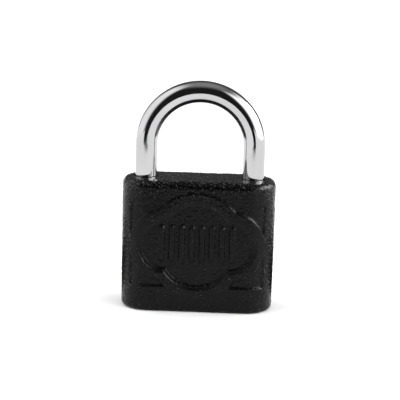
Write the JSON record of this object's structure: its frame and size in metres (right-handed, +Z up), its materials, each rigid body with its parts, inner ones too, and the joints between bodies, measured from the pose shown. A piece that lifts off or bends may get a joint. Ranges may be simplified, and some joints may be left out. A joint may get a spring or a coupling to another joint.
{
  "type": "disc padlock",
  "caption": "Padlock with a black cast body, raised quatrefoil ornament, round chrome shackle and a rotating disc cylinder in its base that throws locking bolts into both shackle legs.",
  "frame": {"origin": "centre of the base, on the axis of the cylinder", "axes": "+Z up through the shackle, +X towards the shackle's toe leg, -Y is the front face"},
  "size_m": [0.063, 0.0254, 0.0943],
  "materials": {
    "black_casting": "iron casting under glossy black enamel with a fine hammered grain",
    "chrome_bar": "polished chrome plate on hardened steel bar",
    "cylinder_brass": "turned brass",
    "disc_brass": "stamped brass",
    "plated_steel": "zinc plated steel",
    "hardened_steel": "ground hardened steel",
    "spring_steel": "bright spring steel",
    "blackened_plug": "steel plug pressed in and painted over with the casting"
  },
  "bodies": {
    "casing": {"lock_body": "black_casting", "cylinder_case": "cylinder_brass", "thrust_washer": "plated_steel", "snap_ring": "spring_steel", "heel_retaining_pin": "spring_steel", "cylinder_retaining_pin": "spring_steel", "bolt_bore_plug": "blackened_plug"},
    "shackle_bar": {"shackle": "chrome_bar"},
    "core": {"guard_disc": "hardened_steel", "disc_carrier": "cylinder_brass", "locking_cam": "plated_steel", "return_disc": "disc_brass", "sidebar": "hardened_steel", "tumbler_disc_01": "disc_brass", "tumbler_disc_02": "disc_brass", "tumbler_disc_03": "disc_brass", "tumbler_disc_04": "disc_brass", "tumbler_disc_05": "disc_brass", "tumbler_disc_06": "disc_brass", "tumbler_disc_07": "disc_brass", "tumbler_disc_08": "disc_brass", "tumbler_disc_09": "disc_brass", "tumbler_disc_10": "disc_brass", "spacer_disc_01": "plated_steel", "spacer_disc_02": "plated_steel", "spacer_disc_03": "plated_steel", "spacer_disc_04": "plated_steel", "spacer_disc_05": "plated_steel", "spacer_disc_06": "plated_steel", "spacer_disc_07": "plated_steel", "spacer_disc_08": "plated_steel", "spacer_disc_09": "plated_steel", "spacer_disc_10": "plated_steel"},
    "toe_bolt": {"locking_bolt_toe": "hardened_steel"},
    "heel_bolt": {"locking_bolt_heel": "hardened_steel"}
  },
  "joints": [
    {"name": "core_turn", "type": "hinge", "parent": "casing", "child": "core", "pos_m": [0, 0, 0.02], "axis": [0, 0, 1], "range_deg": [0, 90]},
    {"name": "shackle_lift", "type": "slide", "parent": "casing", "child": "shackle_bar", "axis": [0, 0, 1], "range_m": [0, 0.016]},
    {"name": "toe_bolt_throw", "type": "slide", "parent": "casing", "child": "toe_bolt", "axis": [1, 0, 0], "range_m": [0, 0.00212]},
    {"name": "heel_bolt_throw", "type": "slide", "parent": "casing", "child": "heel_bolt", "axis": [-1, 0, 0], "range_m": [0, 0.00212]}
  ],
  "couplings": [
    {"joint": "toe_bolt_throw", "follows": "core_turn", "m_per_rad": 0.0013369},
    {"joint": "heel_bolt_throw", "follows": "core_turn", "m_per_rad": 0.0013369}
  ]
}
